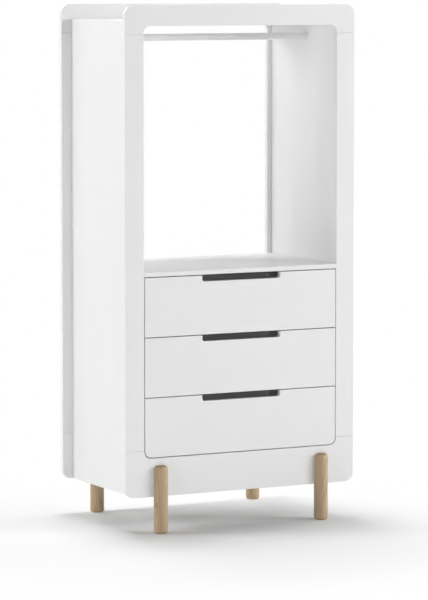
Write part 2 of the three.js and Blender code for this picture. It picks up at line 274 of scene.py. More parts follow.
@dataclass(frozen=True)
class SatinLacquer(CloudedFinish):
    """White two-pack lacquer, sprayed on fibreboard and sanded between coats.

    The eye gets an even white with a wide soft highlight. The spray leaves a faint peel, and the
    cut edges, which soak up more of the lacquer, are a little duller than the faces.
    """

    title: str = "satin_lacquer_sprayed"
    slot: str = "white_lacquer"
    shade: str = "#F0F0F0"
    cloud: str = "#ECECEC"  # where the coat is thinner
    cloud_size: float = 260.0
    roughness: float = 0.40
    cloud_roughness: float = 0.46
    edge_dulling: float = 0.10  # what the roughness gains on the cut edges
    skin_size: float = 6.0  # real crests stand 1 to 2 mm apart, too fine to show
    skin_height: float = 0.006

    def lay_roughness(self, tree: Tree, cloud: Socket) -> Socket:
        """Lays what the roughness follows, which here rises on the cut edges.

        Args:
            tree: the finish's tree.
            cloud: how much of a cloud there is at a place.

        Returns:
            The roughness.
        """
        faces = super().lay_roughness(tree, cloud)
        rim = add_node(tree, "ShaderNodeAttribute", {"attribute_name": "rim"}).outputs["Fac"]
        dulling = {"operation": "MULTIPLY_ADD", 1: self.edge_dulling}
        return add_node(tree, "ShaderNodeMath", dulling, {0: rim, 2: faces}).outputs["Value"]


@dataclass(frozen=True)
class MelamineFacing(Finish):
    """White melamine paper, pressed on chipboard against a pearled plate, with banded edges.

    The eye gets a flat white, a shade greyer than the lacquer, whose fine pearl breaks every
    reflection. The plastic band on the edges is smoother and greyer still.
    """

    title: str = "melamine_pearl_pressed"
    slot: str = "white_board"
    white: str = "#EEEEED"
    band: str = "#E6E6E4"
    face_roughness: float = 0.52
    band_roughness: float = 0.36
    pearl_size: float = 2.4  # real pearls are 0.5 to 1 mm across, too fine to show
    pearl_height: float = 0.02
    index: float = 1.5

    def even(self) -> Settings:
        """Returns the shader's settings that stay the same all over a piece."""
        return {"IOR": self.index}

    def lay(self, tree: Tree) -> Links:
        """Lays the finish's pattern.

        Args:
            tree: the material's empty tree.

        Returns:
            What the pattern feeds the shader.
        """
        place = add_node(tree, "ShaderNodeTexCoord").outputs["Object"]
        rim = add_node(tree, "ShaderNodeAttribute", {"attribute_name": "rim"}).outputs["Fac"]
        shades = {"data_type": "RGBA", 6: to_linear(self.white), 7: to_linear(self.band)}
        colour = add_node(tree, "ShaderNodeMix", shades, {0: rim}).outputs[2]
        gloss = {"To Min": self.face_roughness, "To Max": self.band_roughness}
        roughness = add_node(tree, "ShaderNodeMapRange", gloss, {"Value": rim}).outputs["Result"]
        pearls = {"Scale": 1 / (self.pearl_size * MM), "feature": "SMOOTH_F1"}
        pearl = add_node(tree, "ShaderNodeTexVoronoi", pearls, {"Vector": place}).outputs["Distance"]
        heights = {"To Min": self.pearl_height * MM, "To Max": 0.0}
        height = add_node(tree, "ShaderNodeMapRange", heights, {"Value": rim}).outputs["Result"]
        relief = {"Height": pearl, "Distance": height}
        bump = add_node(tree, "ShaderNodeBump", links=relief).outputs["Normal"]
        return {"Base Color": colour, "Roughness": roughness, "Normal": bump}


@dataclass(frozen=True)
class OiledBeech(Finish):
    """Steamed beech, turned, sanded and rubbed with clear oil.

    The eye gets a pale tan with narrow rings along the leg, short brown ray flecks between them and
    a soft sheen. The end grain, which drinks more oil, is darker.
    """

    title: str = "beech_oiled"
    slot: str = "beech"
    early_wood: str = "#BFA887"
    late_wood: str = "#AE906A"
    fleck: str = "#8E6E48"
    end_grain: str = "#9B7C56"
    ring_width: float = 4.2  # real rings are 1.5 to 3 mm wide, too narrow to show
    ring_slant: float = 0.06  # how fast the rings widen up the trunk
    ring_wander: float = 3.0
    late_from: float = -0.4  # the height of the rings' wave at which late wood begins
    late_share: float = 0.7  # of the late wood's colour, at most
    fleck_width: float = 0.9
    fleck_length: float = 7.0
    fleck_levels: tuple[float, float] = (0.60, 0.72)  # of the noise, where a fleck starts and is full
    fleck_share: float = 0.75
    streak_width: float = 9.0
    streak_length: float = 240.0
    end_levels: tuple[float, float] = (0.55, 0.95)  # of the upright normal, as for the flecks
    end_share: float = 0.8
    face_roughness: float = 0.44
    fleck_roughness: float = 0.62
    pore_depth: float = 0.05
    index: float = 1.5

    def even(self) -> Settings:
        """Returns the shader's settings that stay the same all over a piece."""
        return {"IOR": self.index}

    def lay(self, tree: Tree) -> Links:
        """Lays the finish's pattern.

        Args:
            tree: the material's empty tree.

        Returns:
            What the pattern feeds the shader.
        """
        timber = add_node(tree, "ShaderNodeAttribute", {"attribute_name": "timber"}).outputs["Vector"]
        stretched = {}
        for name, width, length in (
            ("fleck", self.fleck_width, self.fleck_length),
            ("streak", self.streak_width, self.streak_length),
        ):
            scale = {"operation": "MULTIPLY", 1: (1 / width, 1 / width, 1 / length)}
            scaled = add_node(tree, "ShaderNodeVectorMath", scale, {0: timber})
            octaves = {"Scale": 1.0, "Detail": 3.0}
            noise = add_node(tree, "ShaderNodeTexNoise", octaves, {"Vector": scaled.outputs["Vector"]})
            stretched[name] = noise.outputs["Fac"]

        # Distance from the pith, a little slanted along the trunk, so that the rings run out in arches.
        slant = {"operation": "MULTIPLY", 1: (1.0, 1.0, self.ring_slant)}
        slanted = add_node(tree, "ShaderNodeVectorMath", slant, {0: timber}).outputs["Vector"]
        radius = add_node(tree, "ShaderNodeVectorMath", {"operation": "LENGTH"}, {0: slanted})
        wander = {"operation": "MULTIPLY_ADD", 1: 2 * self.ring_wander}
        places = {0: stretched["streak"], 2: radius.outputs["Value"]}
        wandering = add_node(tree, "ShaderNodeMath", wander, places).outputs["Value"]
        wave = {"operation": "MULTIPLY", 1: 2 * math.pi / self.ring_width}
        turns = add_node(tree, "ShaderNodeMath", wave, {0: wandering}).outputs["Value"]
        ring = add_node(tree, "ShaderNodeMath", {"operation": "SINE"}, {0: turns}).outputs["Value"]
        steep = self.upright(tree)
        masks = {}
        for name, source, (start, full), share in (
            ("late", ring, (self.late_from, 1.0), self.late_share),
            ("fleck", stretched["fleck"], self.fleck_levels, self.fleck_share),
            ("end", steep, self.end_levels, self.end_share),
        ):
            levels = {"From Min": start, "From Max": full, "To Max": share}
            mask = add_node(tree, "ShaderNodeMapRange", levels, {"Value": source})
            masks[name] = mask.outputs["Result"]

        shades = {"data_type": "RGBA", 6: to_linear(self.early_wood), 7: to_linear(self.late_wood)}
        colour = add_node(tree, "ShaderNodeMix", shades, {0: masks["late"]}).outputs[2]
        for name, darker in (("fleck", self.fleck), ("end", self.end_grain)):
            over = {"data_type": "RGBA", 7: to_linear(darker)}
            colour = add_node(tree, "ShaderNodeMix", over, {0: masks[name], 6: colour}).outputs[2]
        gloss = {"To Min": self.face_roughness, "To Max": self.fleck_roughness}
        fleck = masks["fleck"]
        roughness = add_node(tree, "ShaderNodeMapRange", gloss, {"Value": fleck}).outputs["Result"]
        pores = {"Distance": self.pore_depth * MM, "invert": True}
        bump = add_node(tree, "ShaderNodeBump", pores, {"Height": fleck}).outputs["Normal"]
        return {"Base Color": colour, "Roughness": roughness, "Normal": bump}

    def upright(self, tree: Tree) -> Socket:
        """Lays how far a face looks up or down.

        Args:
            tree: the material's tree.

        Returns:
            A value from zero on the leg's round to one on its ends.
        """
        normal = add_node(tree, "ShaderNodeTexCoord").outputs["Normal"]
        split = add_node(tree, "ShaderNodeSeparateXYZ", links={"Vector": normal})
        absolute = {"operation": "ABSOLUTE"}
        return add_node(tree, "ShaderNodeMath", absolute, {0: split.outputs["Z"]}).outputs["Value"]


@dataclass(frozen=True)
class PowderCoat(CloudedFinish):
    """White polyester powder, sprayed dry on steel tube and stoved.

    The eye gets a glossier white than the lacquer, with a round, slightly broken highlight.
    """

    title: str = "powder_coat_stoved"
    slot: str = "white_steel"
    shade: str = "#F0F0F0"
    cloud: str = "#EAEAEA"  # where the powder lies thinner
    cloud_size: float = 60.0
    roughness: float = 0.28
    cloud_roughness: float = 0.36
    skin_size: float = 3.0
    skin_height: float = 0.01


@dataclass(frozen=True)
class ZincPlate(Finish):
    """Cold-rolled or turned steel, barrel-plated with bright zinc and passivated.

    The eye gets a light blue-grey metal with faint rolling streaks and cloudy patches.
    """

    title: str = "zinc_plate_passivated"
    slot: str = "zinc_steel"
    bright: str = "#C3C7CB"
    cloudy: str = "#A8ACAF"
    streak_width: float = 1.6  # real streaks are a few tenths wide, too fine to show
    streak_length: float = 60.0
    streak_levels: tuple[float, float] = (0.3, 0.7)  # of the noise, where a streak starts and is full
    patch_size: float = 14.0
    roughness_least: float = 0.26
    roughness_most: float = 0.46
    streak_depth: float = 0.003

    def even(self) -> Settings:
        """Returns the shader's settings that stay the same all over a piece."""
        return {"Metallic": 1.0}

    def lay(self, tree: Tree) -> Links:
        """Lays the finish's pattern.

        Args:
            tree: the material's empty tree.

        Returns:
            What the pattern feeds the shader.
        """
        place = add_node(tree, "ShaderNodeTexCoord").outputs["Object"]
        across, along = 1 / (self.streak_width * MM), 1 / (self.streak_length * MM)
        rolling = {"operation": "MULTIPLY", 1: (across, along, across)}
        rolled = add_node(tree, "ShaderNodeVectorMath", rolling, {0: place}).outputs["Vector"]
        octaves = {"Scale": 1.0, "Detail": 2.0}
        streak = add_node(tree, "ShaderNodeTexNoise", octaves, {"Vector": rolled}).outputs["Fac"]
        spread = {"Scale": 1 / (self.patch_size * MM), "Detail": 3.0}
        patch = add_node(tree, "ShaderNodeTexNoise", spread, {"Vector": place}).outputs["Fac"]
        shades = {"data_type": "RGBA", 6: to_linear(self.bright), 7: to_linear(self.cloudy)}
        colour = add_node(tree, "ShaderNodeMix", shades, {0: patch}).outputs[2]
        start, full = self.streak_levels
        gloss = {
            "From Min": start,
            "From Max": full,
            "To Min": self.roughness_least,
            "To Max": self.roughness_most,
        }
        roughness = add_node(tree, "ShaderNodeMapRange", gloss, {"Value": streak}).outputs["Result"]
        depth = {"Distance": self.streak_depth * MM}
        bump = add_node(tree, "ShaderNodeBump", depth, {"Height": streak}).outputs["Normal"]
        return {"Base Color": colour, "Roughness": roughness, "Normal": bump}


@dataclass(frozen=True)
class BearingSteel(Finish):
    """Chromium steel, ground and tumbled to a polish for balls.

    The eye gets small dark mirrors, with a haze of grease here and there.
    """

    title: str = "bearing_steel_polished"
    slot: str = "zinc_steel"
    bright: str = "#C9CACB"
    grease_size: float = 3.0
    grease_levels: tuple[float, float] = (0.35, 0.7)  # of the noise, where the haze starts and is full
    roughness_least: float = 0.08
    roughness_most: float = 0.24

    def even(self) -> Settings:
        """Returns the shader's settings that stay the same all over a piece."""
        return {"Metallic": 1.0, "Base Color": to_linear(self.bright)}

    def lay(self, tree: Tree) -> Links:
        """Lays the finish's pattern.

        Args:
            tree: the material's empty tree.

        Returns:
            What the pattern feeds the shader.
        """
        place = add_node(tree, "ShaderNodeTexCoord").outputs["Object"]
        blots = {"Scale": 1 / (self.grease_size * MM)}
        grease = add_node(tree, "ShaderNodeTexNoise", blots, {"Vector": place}).outputs["Fac"]
        start, full = self.grease_levels
        gloss = {
            "From Min": start,
            "From Max": full,
            "To Min": self.roughness_least,
            "To Max": self.roughness_most,
        }
        haze = add_node(tree, "ShaderNodeMapRange", gloss, {"Value": grease})
        return {"Roughness": haze.outputs["Result"]}


@dataclass(frozen=True)
class MouldedNylon(CloudedFinish):
    """Natural nylon, injection moulded in a lightly eroded tool.

    The eye gets a creamy white that lets a little light in, with a fine even grain.
    """

    title: str = "nylon_moulded"
    slot: str = "white_nylon"
    shade: str = "#E6E3DA"
    cloud: str = "#DEDACF"  # where the melt flowed last
    cloud_size: float = 8.0
    roughness: float = 0.48
    cloud_roughness: float = 0.48
    skin_size: float = 0.8
    skin_height: float = 0.01
    skin_detail: float = 2.0
    index: float = 1.53
    translucency: float = 0.15


LACQUER = SatinLacquer()
MELAMINE = MelamineFacing()
BEECH = OiledBeech()
POWDER = PowderCoat()
ZINC = ZincPlate()
BALL_STEEL = BearingSteel()
NYLON = MouldedNylon()


def trace(corners: list[Corner], least: float) -> list[tuple[Vector, Vector]]:
    """Follows a closed outline round its corners.

    Args:
        corners: the corners in order, in either sense.
        least: the rounding of a corner whose own radius is smaller.

    Returns:
        The points, anticlockwise, each with the direction that points out of the material there.
    """
    area = sum(a[0] * b[1] - b[0] * a[1] for a, b in zip(corners, corners[1:] + corners[:1]))
    ordered = corners if area > 0 else corners[::-1]
    traced = []
    for i, (x, y, own_radius) in enumerate(ordered):
        corner = Vector((x, y))
        before = (Vector(ordered[i - 1][:2]) - corner).normalized()
        after = (Vector(ordered[(i + 1) % len(ordered)][:2]) - corner).normalized()
        radius = max(own_radius, least)
        half_angle = before.angle(after) / 2
        centre = corner + (before + after).normalized() * (radius / math.sin(half_angle))
        sweep = math.pi - 2 * half_angle
        is_convex = after.cross(before) > 0
        out = Vector((-before.y, before.x))
        widest = 2 * math.acos(1 - min(0.5, ARC_TOLERANCE / radius))
        steps = max(LEAST_CHORDS, math.ceil(sweep / widest))
        turn = 1 if is_convex else -1
        for step in range(steps + 1):
            direction = Matrix.Rotation(turn * sweep * step / steps, 2) @ out
            traced.append((centre + direction * radius * turn, direction))
    return traced


def make_mesh(name: str, points: list[Vector], faces: list[list[int]]) -> Piece:
    """Makes an object from points in millimetres behind the front face.

    Args:
        name: the piece's name.
        points: the points.
        faces: the faces as numbers of their points, anticlockwise from outside.

    Returns:
        The object, linked to the scene.
    """
    mesh = bpy.data.meshes.new(name)
    shift = Vector((0, LAYOUT.front_face, 0))
    mesh.from_pydata([(p + shift) * MM for p in points], [], faces)
    mesh.update()
    piece = bpy.data.objects.new(name, mesh)
    bpy.context.scene.collection.objects.link(piece)
    return piece


def cut_board(
    name: str,
    corners: list[Corner],
    axis: Axis,
    low: float,
    thickness: float,
    edge: float = 0.8,
) -> Piece:
    """Cuts a board from an outline and rounds all its edges.

    Args:
        name: the piece's name.
        corners: the outline.
        axis: the direction of the thickness.
        low: where the thickness starts.
        thickness: the board's thickness.
        edge: the radius of its rounded edges.

    Returns:
        The board, with exact normals and an attribute "rim" that is one on the narrow edges.
    """
    traced = trace(corners, least=edge * CORNER_MARGIN)
    # Each long edge is a quarter round of three chords, swept round the outline.
    arc = [math.radians(angle) for angle in (-90, -60, -30, 0)]
    rounds = [(low + edge + edge * math.sin(a), a) for a in arc]
    rounds += [(low + thickness - edge + edge * math.sin(-a), -a) for a in reversed(arc)]
    points, normals, rims, rings = [], [], [], []
    for level, angle in rounds:
        rings.append([len(points) + i for i in range(len(traced))])
        for at, out in traced:
            inset = at - out * edge * (1 - math.cos(angle))
            points.append(axis.point(inset.x, inset.y, level))
            normals.append(axis.point(*(out * math.cos(angle)), math.sin(angle)))
            rims.append(math.cos(angle))
    faces = [rings[0][::-1], rings[-1]]
    for lower, upper in zip(rings, rings[1:]):
        for i in range(len(lower)):
            j = (i + 1) % len(lower)
            faces.append([lower[i], lower[j], upper[j], upper[i]])
    if axis.mirrors:
        faces = [face[::-1] for face in faces]
    piece = make_mesh(name, points, faces)
    piece.data.shade_smooth()
    piece.data.normals_split_custom_set_from_vertices(normals)
    rim = piece.data.attributes.new("rim", "FLOAT", "POINT")
    rim.data.foreach_set("value", rims)
    return piece


def rectangle(x0: float, y0: float, x1: float, y1: float) -> list[Corner]:
    """Returns the corners of a rectangle."""
    return [(x0, y0, 0), (x1, y0, 0), (x1, y1, 0), (x0, y1, 0)]


def soften(points: list[Corner]) -> list[Vector]:
    """Follows an open line round its corners.

    Args:
        points: the line's corners in order.

    Returns:
        The line's points.
    """
    line = []
    for i, (x, y, radius) in enumerate(points):
        corner = Vector((x, y))
        if radius == 0 or i in (0, len(points) - 1):
            line.append(corner)
            continue
        before = (Vector(points[i - 1][:2]) - corner).normalized()
        after = (Vector(points[i + 1][:2]) - corner).normalized()
        half_angle = before.angle(after) / 2
        middle = (before + after).normalized()
        centre = corner + middle * (radius / math.sin(half_angle))
        sweep = math.pi - 2 * half_angle
        turn = math.copysign(1, after.cross(before))
        for step in range(BEND_CHORDS + 1):
            turned = Matrix.Rotation(turn * sweep * (step / BEND_CHORDS - 0.5), 2) @ -middle
            line.append(centre + turned * radius)
    return line


def turn_piece(name: str, section: list[Corner], axis: Axis, facets: int) -> Piece:
    """Turns a piece round an axis through zero.

    Args:
        name: the piece's name.
        section: the half section's corners as (radius, height, rounding).
        axis: the direction of the height.
        facets: facets round the piece.

    Returns:
        The piece, closed and without shading set.
    """
    line = soften(section)
    points, rings, faces = [], [], []
    for radius, height in line:
        count = facets if radius > 0 else 1  # a ring on the axis is one point
        rings.append([len(points) + i for i in range(count)])
        for i in range(count):
            angle = 2 * math.pi * i / facets
            u, v = radius * math.cos(angle), radius * math.sin(angle)
            points.append(axis.point(u, v, height))
    for lower, upper in zip(rings, rings[1:]):
        for i in range(facets):
            j = (i + 1) % facets
            corners = ((lower, i), (lower, j), (upper, j), (upper, i))
            face = list(dict.fromkeys(ring[k % len(ring)] for ring, k in corners))
            if len(face) > 2:
                faces.append(face[::-1] if axis.mirrors else face)
    return make_mesh(name, points, faces)


def fold_sheet(name: str, line: list[Corner], sheet: float, start: float, length: float) -> Piece:
    """Folds a strip of sheet along the depth.

    Args:
        name: the piece's name.
        line: the corners of the section's centre line, in x and z.
        sheet: the sheet's thickness.
        start: distance from the front face to the strip's front end.
        length: the strip's length.

    Returns:
        The strip, closed and without shading set.
    """
    centre = soften(line)
    left, right = [], []
    for i, point in enumerate(centre):
        before = (point - centre[i - 1]).normalized() if i > 0 else None
        after = (centre[i + 1] - point).normalized() if i < len(centre) - 1 else None
        first, second = before or after, after or before
        mitre = (first + second) / (1 + first.dot(second)) * (sheet / 2)
        left.append(point + Vector((-mitre.y, mitre.x)))
        right.append(point - Vector((-mitre.y, mitre.x)))
    section = left + right[::-1]
    count = len(section)
    points = [Vector((p.x, start + shift, p.y)) for shift in (0, length) for p in section]
    half = count // 2
    faces = []
    for i in range(half - 1):
        near = [i, i + 1, count - 2 - i, count - 1 - i]
        faces += [near, [k + count for k in reversed(near)]]
    faces += [[i, i + count, (i + 1) % count + count, (i + 1) % count] for i in range(count)]
    return face_outwards(make_mesh(name, points, faces))


def face_outwards(piece: Piece) -> Piece:
    """Turns all faces of a closed piece outwards.

    Args:
        piece: the piece.

    Returns:
        The piece.
    """
    sheet = bmesh.new()
    sheet.from_mesh(piece.data)
    bmesh.ops.recalc_face_normals(sheet, faces=sheet.faces)
    sheet.to_mesh(piece.data)
    sheet.free()
    return piece


def shift_piece(piece: Piece, x: float, y: float, z: float) -> Piece:
    """Moves a piece's points.

    Args:
        piece: the piece, whose object stays at the origin.
        x: distance to the right in millimetres.
        y: distance to the back.
        z: distance up.

    Returns:
        The piece.
    """
    piece.data.transform(Matrix.Translation(Vector((x, y, z)) * MM))
    return piece


def carve(piece: Piece, *tools: Piece) -> Piece:
    """Takes the tools' volume out of a piece.

    Args:
        piece: a closed piece.
        tools: closed shapes, which are removed afterwards.

    Returns:
        The piece.
    """
    for tool in tools:
        cutter = piece.modifiers.new("cut", "BOOLEAN")
        cutter.object = tool
        cutter.operation = "DIFFERENCE"
        cutter.solver = "EXACT"
    graph = bpy.context.evaluated_depsgraph_get()
    carved = bpy.data.meshes.new_from_object(piece.evaluated_get(graph))
    piece.modifiers.clear()
    blank, piece.data = piece.data, carved
    carved.name = piece.name
    bpy.data.meshes.remove(blank)
    for tool in tools:
        mesh = tool.data
        bpy.data.objects.remove(tool)
        bpy.data.meshes.remove(mesh)
    return piece


def shade(piece: Piece, sharpest: float = 32.0) -> Piece:
    """Shades a piece smooth, except across edges that turn by more than an angle.

    Args:
        piece: the piece.
        sharpest: the angle in degrees.

    Returns:
        The piece.
    """
    piece.data.shade_smooth()
    piece.data.set_sharp_from_angle(angle=math.radians(sharpest))
    return piece


def join_pieces(whole: Piece, *others: Piece) -> Piece:
    """Adds the meshes of others, with their materials, to a piece and removes them.

    Args:
        whole: the piece that stays.
        others: the pieces that go.

    Returns:
        The whole.
    """
    with bpy.context.temp_override(
        active_object=whole,
        object=whole,
        selected_objects=[whole, *others],
        selected_editable_objects=[whole, *others],
    ):
        bpy.ops.object.join()
    return whole


def settle(piece: Piece, finish: Finish, body: str, node: str | None = None) -> None:
    """Dresses a piece, sets it on its body and reports it.

    Args:
        piece: the piece, in place.
        finish: its finish.
        body: the body that it moves with.
        node: the solid that it stands for, if any.
    """
    if not piece.data.materials:
        piece.data.materials.append(finish.material())
    if node is not None:
        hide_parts(node)
    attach(piece, body)
    log.info("%s: %d faces, %s, on %s", piece.name, len(piece.data.polygons), finish.title, body)


def keep_solid(node: str, finish: Finish) -> None:
    """Dresses a solid that stays as it is.

    Args:
        node: the solid's name.
        finish: its finish.
    """
    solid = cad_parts[node]
    for slot in solid.material_slots:
        slot.material = finish.material()
    log.info("%s: kept, %s", node, finish.title)


@dataclass
class PictureFrame:
    """One of the two frames: two U-shaped rails that turn the corners, and two straight stiles."""

    name: str
    face: float  # its front face, behind the wardrobe's front face
    ear_length: float = 29.0  # a rail's inner edge to its seam with the stile
    outer_radius: float = 33.0
    edge: float = 1.5  # radius of its rounded edges

    def rail_corners(self, outer: float, inner: float) -> list[Corner]:
        """Outlines a rail.

        Args:
            outer: level of the frame's outer edge.
            inner: level of the opening's edge.

        Returns:
            The outline's corners.
        """
        seam = inner + math.copysign(self.ear_length, inner - outer)
        half, opening = LAYOUT.frame_half, LAYOUT.opening_half
        return [
            (-half, seam, 0),
            (-half, outer, self.outer_radius),
            (half, outer, self.outer_radius),
            (half, seam, 0),
            (opening, seam, 0),
            (opening, inner, LAYOUT.opening_radius),
            (-opening, inner, LAYOUT.opening_radius),
            (-opening, seam, 0),
        ]

    def build(self) -> None:
        """Makes the frame's four boards."""
        outlines = {
            "top_rail": self.rail_corners(LAYOUT.top, LAYOUT.opening_top),
            "bottom_rail": self.rail_corners(LAYOUT.underside, LAYOUT.opening_bottom),
        }
        low = LAYOUT.opening_bottom + self.ear_length + LAYOUT.seat_gap
        high = LAYOUT.opening_top - self.ear_length - LAYOUT.seat_gap
        for side in Side:
            inner, outer = side.value * LAYOUT.opening_half, side.value * LAYOUT.frame_half
            outlines[f"{side.label}_stile"] = rectangle(inner, low, outer, high)
        for label, corners in outlines.items():
            node = f"{self.name}_{label}"
            board = cut_board(f"{node}_board", corners, Axis.Y, self.face, LAYOUT.frame_board, self.edge)
            settle(board, LACQUER, "cabinet", node)


@dataclass
class Carcass:
    """The boards between the two frames."""

    top_inset: float = 53.0  # of the top panel's upper face, from the frames' upper edge
    back_sheet: float = 3.0
    sheet_edge: float = 0.3  # radius of the sheet's rounded edges
    packer_back: float = 479.0

    def build(self) -> None:
        """Makes the side, top and bottom panels, the deck, the lower back and the runner packers."""
        gap, thick = LAYOUT.seat_gap, LAYOUT.panel_board
        front, back = LAYOUT.frame_board + gap, LAYOUT.carcass_back - gap
        inner = LAYOUT.side_inner - gap
        low, high = LAYOUT.opening_bottom + gap, LAYOUT.deck_underside - gap
        top = LAYOUT.top - self.top_inset
        for side in Side:
            node = f"{side.label}_side_panel"
            corners = rectangle(front, LAYOUT.underside, back, top)
            start = LAYOUT.side_inner if side is Side.RIGHT else -LAYOUT.side_outer
            panel = cut_board(f"{node}_board", corners, Axis.X, start, thick)
            settle(panel, LACQUER, "cabinet", node)

            node = f"{side.label}_runner_packer"
            corners = rectangle(front, low, self.packer_back, high)
            start = LAYOUT.opening_half if side is Side.RIGHT else -inner
            packer = cut_board(f"{node}_board", corners, Axis.X, start, inner - LAYOUT.opening_half)
            settle(packer, MELAMINE, "cabinet", node)

        between = rectangle(-inner, front, inner, back)
        for node, finish, corners, level in (
            ("top_panel", LACQUER, between, top - thick),
            ("bottom_panel", MELAMINE, between, LAYOUT.opening_bottom - thick),
            ("drawer_deck", LACQUER, self.deck_corners(), LAYOUT.deck_underside),
        ):
            settle(cut_board(f"{node}_board", corners, Axis.Z, level, thick), finish, "cabinet", node)
        node, near = "lower_back_panel", back - self.back_sheet
        corners = rectangle(-inner, low, inner, high)
        sheet = cut_board(f"{node}_sheet", corners, Axis.Y, near, self.back_sheet, self.sheet_edge)
        settle(sheet, MELAMINE, "cabinet", node)

    def deck_corners(self) -> list[Corner]:
        """Outlines the deck, whose front and rear edges pass between the stiles.

        Returns:
            The outline's corners.
        """
        gap = LAYOUT.seat_gap
        inner, tongue = LAYOUT.side_inner - gap, LAYOUT.opening_half - gap
        front, back = LAYOUT.frame_board + gap, LAYOUT.carcass_back - gap
        rear = LAYOUT.carcass_back + LAYOUT.frame_board
        right = [
            (tongue, 0, 0),
            (tongue, front, 0),
            (inner, front, 0),
            (inner, back, 0),
            (tongue, back, 0),
            (tongue, rear, 0),
        ]
        return right + [(-x, y, rounding) for x, y, rounding in reversed(right)]


@dataclass
class HangingRail:
    """The white steel rail under the top, plugged into the side panels."""

    diameter: float = 25.0
    wall: float = 1.5
    drop: float = 116.0  # its axis below the frames' upper edge
    setback: float = 260.0  # its axis behind the front face
    facets: int = 64

    def build(self) -> None:
        """Makes the tube and dresses its plugs."""
        outer, half = self.diameter / 2, LAYOUT.side_inner - LAYOUT.seat_gap
        inner = outer - self.wall
        section = [(r, x, 0) for r, x in ((inner, -half), (outer, -half), (outer, half), (inner, half))]
        section.append(section[0])
        tube = turn_piece("hanging_rail_tube", section, Axis.X, self.facets)
        face_outwards(shift_piece(tube, 0, self.setback, LAYOUT.top - self.drop))
        settle(shade(tube), POWDER, "cabinet", "hanging_rail")
        for side in Side:
            keep_solid(f"{side.label}_rail_plug", NYLON)


@dataclass
class Leg:
    """A round leg, cut flat to lap on its frame, and the bolt that holds it."""

    name: str
    side: Side
    face: float  # the frame's face that the leg laps on
    pith: Vector  # from the trunk's pith to the leg's foot, in its timber
    offset: float = 320.0  # its axis from the wardrobe's middle
    diameter: float = 50.0
    stand_off: float = 3.0  # its axis before the face
    lap: float = 110.0
    foot_rounding: float = 9.0
    top_rounding: float = 14.0
    support: float = 0.6  # a ring that close to a rounding keeps the flat end flat in the shading
    facets: int = 72
    bolt_diameter: float = 6.0
    bolt_bite: float = 14.0
    bolt_facets: int = 48
    tip_rounding: float = 0.6
    head_diameter: float = 12.0
    head_height: float = 2.5
    head_rounding: float = 1.0
    seat_rounding: float = 0.3  # of the head's underside
    key: float = 4.0  # width across the socket's flats
    key_depth: float = 1.5

    def build(self) -> None:
        """Makes the leg and its bolt."""
        radius, length = self.diameter / 2, LAYOUT.underside + self.lap
        foot, top = self.foot_rounding + self.support, self.top_rounding + self.support
        section = [
            (0, 0, 0),
            (radius - foot, 0, 0),
            (radius, 0, self.foot_rounding),
            (radius, foot, 0),
            (radius, length - top, 0),
            (radius, length, self.top_rounding),
            (radius - top, length, 0),
            (0, length, 0),
        ]
        leg = turn_piece(f"{self.name}_turning", section, Axis.Z, self.facets)
        flat = self.stand_off - LAYOUT.seat_gap
        shoulder = LAYOUT.underside - LAYOUT.seat_gap
        corners = rectangle(-self.diameter, flat, self.diameter, self.diameter)
        height = length + TOOL_REACH - shoulder
        carve(leg, cut_board(f"{self.name}_waste", corners, Axis.Z, shoulder, height, edge=0.01))
        shift = self.pith - Vector((0, LAYOUT.front_face, 0))
        place = leg.data.attributes.new("timber", "FLOAT_VECTOR", "POINT")
        place.data.foreach_set("vector", [c for v in leg.data.vertices for c in v.co / MM + shift])
        shift_piece(leg, self.side.value * self.offset, self.face - self.stand_off, 0)
        settle(shade(leg), BEECH, "cabinet", self.name)
        self.build_bolt()

    def build_bolt(self) -> None:
        """Makes the flat-headed bolt with its hexagon socket."""
        node = f"{self.name}_bolt"
        seat, shank, head = LAYOUT.seat_gap, self.bolt_diameter / 2, self.head_diameter / 2
        tip, top = -LAYOUT.frame_board - self.bolt_bite, LAYOUT.seat_gap + self.head_height
        section = [
            (0, tip, 0),
            (shank, tip, self.tip_rounding),
            (shank, seat, 0),
            (head, seat, self.seat_rounding),
            (head, top, self.head_rounding),
            (0, top, 0),
        ]
        bolt = turn_piece(f"{node}_turning", section, Axis.Y, self.bolt_facets)
        corner = self.key / math.sqrt(3)
        turns = [math.pi / 3 * i for i in range(6)]
        hexagon = [(corner * math.cos(t), corner * math.sin(t), 0) for t in turns]
        bottom, depth = top - self.key_depth, self.key_depth + TOOL_REACH
        carve(bolt, cut_board(f"{node}_socket", hexagon, Axis.Y, bottom, depth, edge=0.02))
        level = LAYOUT.underside + self.lap / 2
        shift_piece(bolt, self.side.value * self.offset, self.face + LAYOUT.frame_board, level)
        settle(shade(bolt), ZINC, "cabinet", node)


